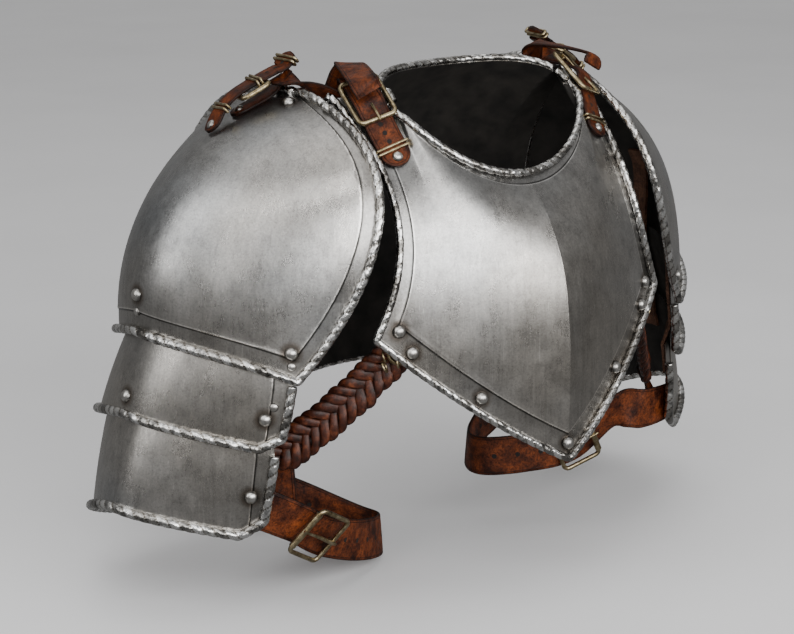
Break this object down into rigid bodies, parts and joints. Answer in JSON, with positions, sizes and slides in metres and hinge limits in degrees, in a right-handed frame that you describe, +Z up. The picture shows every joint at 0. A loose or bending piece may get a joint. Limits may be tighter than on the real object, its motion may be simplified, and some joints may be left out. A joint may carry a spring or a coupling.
{
  "type": "pair of pauldrons with breast and back plate",
  "caption": "Short breast and back plate with laminated shoulder defences on both arms, joined by buckled leather straps and plaited underarm straps.",
  "frame": {"origin": "middle of the neck opening at shoulder height, where the straps rest on the wearer's shoulders", "axes": "+Z up, +X to the wearer's left, -Y to the front"},
  "size_m": [0.6008, 0.3274, 0.4196],
  "materials": {
    "steel": "satin, brushed, with a warm aged patina",
    "leather": "worn red-brown",
    "brass": "dull"
  },
  "bodies": {
    "root": {"breast_plate": "steel", "back_plate": "steel", "rivet_breast_point": "steel", "dome_left": "steel", "upper_lame_left": "steel", "lower_lame_left": "steel", "inner_leather_front_left": "leather", "inner_leather_middle_left": "leather", "inner_leather_back_left": "leather", "shoulder_strap_left": "leather", "shoulder_chape_left": "leather", "shoulder_buckle_left": "brass", "pauldron_strap_left": "leather", "pauldron_billet_left": "leather", "pauldron_buckle_left": "brass", "arm_strap_left": "leather", "arm_buckle_left": "brass", "underarm_ring_left": "brass", "underarm_plait_left": "leather", "underarm_tab_left": "leather", "rivet_dome_front_left": "steel", "rivet_dome_side_left": "steel", "rivet_dome_top_left": "steel", "rivet_upper_lame_front_left": "steel", "rivet_upper_lame_side_left": "steel", "rivet_lower_lame_front_left": "steel", "rivet_breast_corner_left": "steel", "rivet_breast_corner_low_left": "steel", "rivet_breast_edge_left": "steel", "dome_right": "steel", "upper_lame_right": "steel", "lower_lame_right": "steel", "inner_leather_front_right": "leather", "inner_leather_middle_right": "leather", "inner_leather_back_right": "leather", "shoulder_strap_right": "leather", "shoulder_chape_right": "leather", "shoulder_buckle_right": "brass", "pauldron_strap_right": "leather", "pauldron_billet_right": "leather", "pauldron_buckle_right": "brass", "arm_strap_right": "leather", "arm_buckle_right": "brass", "underarm_ring_right": "brass", "underarm_plait_right": "leather", "underarm_tab_right": "leather", "rivet_dome_front_right": "steel", "rivet_dome_side_right": "steel", "rivet_dome_top_right": "steel", "rivet_upper_lame_front_right": "steel", "rivet_upper_lame_side_right": "steel", "rivet_lower_lame_front_right": "steel", "rivet_breast_corner_right": "steel", "rivet_breast_corner_low_right": "steel", "rivet_breast_edge_right": "steel"}
  },
  "joints": []
}
